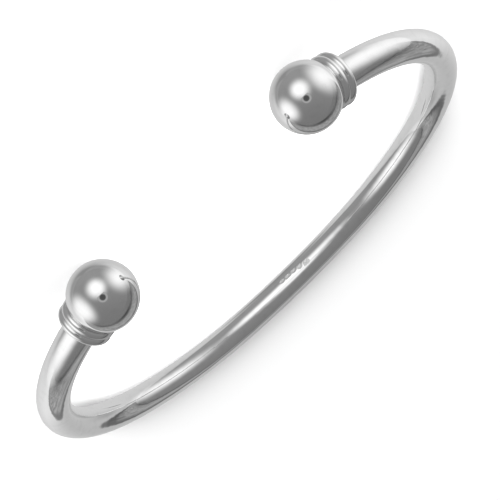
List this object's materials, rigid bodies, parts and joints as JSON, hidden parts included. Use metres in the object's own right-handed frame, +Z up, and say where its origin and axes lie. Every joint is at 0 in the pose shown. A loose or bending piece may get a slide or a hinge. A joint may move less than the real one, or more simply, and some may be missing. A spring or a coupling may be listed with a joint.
{
  "type": "torque bangle",
  "caption": "Open oval bangle of round silver rod with a double bead collar and a ball on each end, lying on its side.",
  "frame": {"origin": "on the surface that the bangle lies on, below the centre of its box", "axes": "+Z up from the surface, across the wrist hollow; the mouth between the balls faces -Y and the back of the rod is on +Y; +X to the right, the side of ball_right"},
  "size_m": [0.068, 0.055, 0.008],
  "materials": {
    "polished_silver": "mirror-polished sterling silver"
  },
  "bodies": {
    "root": {"rod": "polished_silver", "collar_left": "polished_silver", "collar_right": "polished_silver", "ball_left": "polished_silver", "ball_right": "polished_silver"}
  },
  "joints": []
}
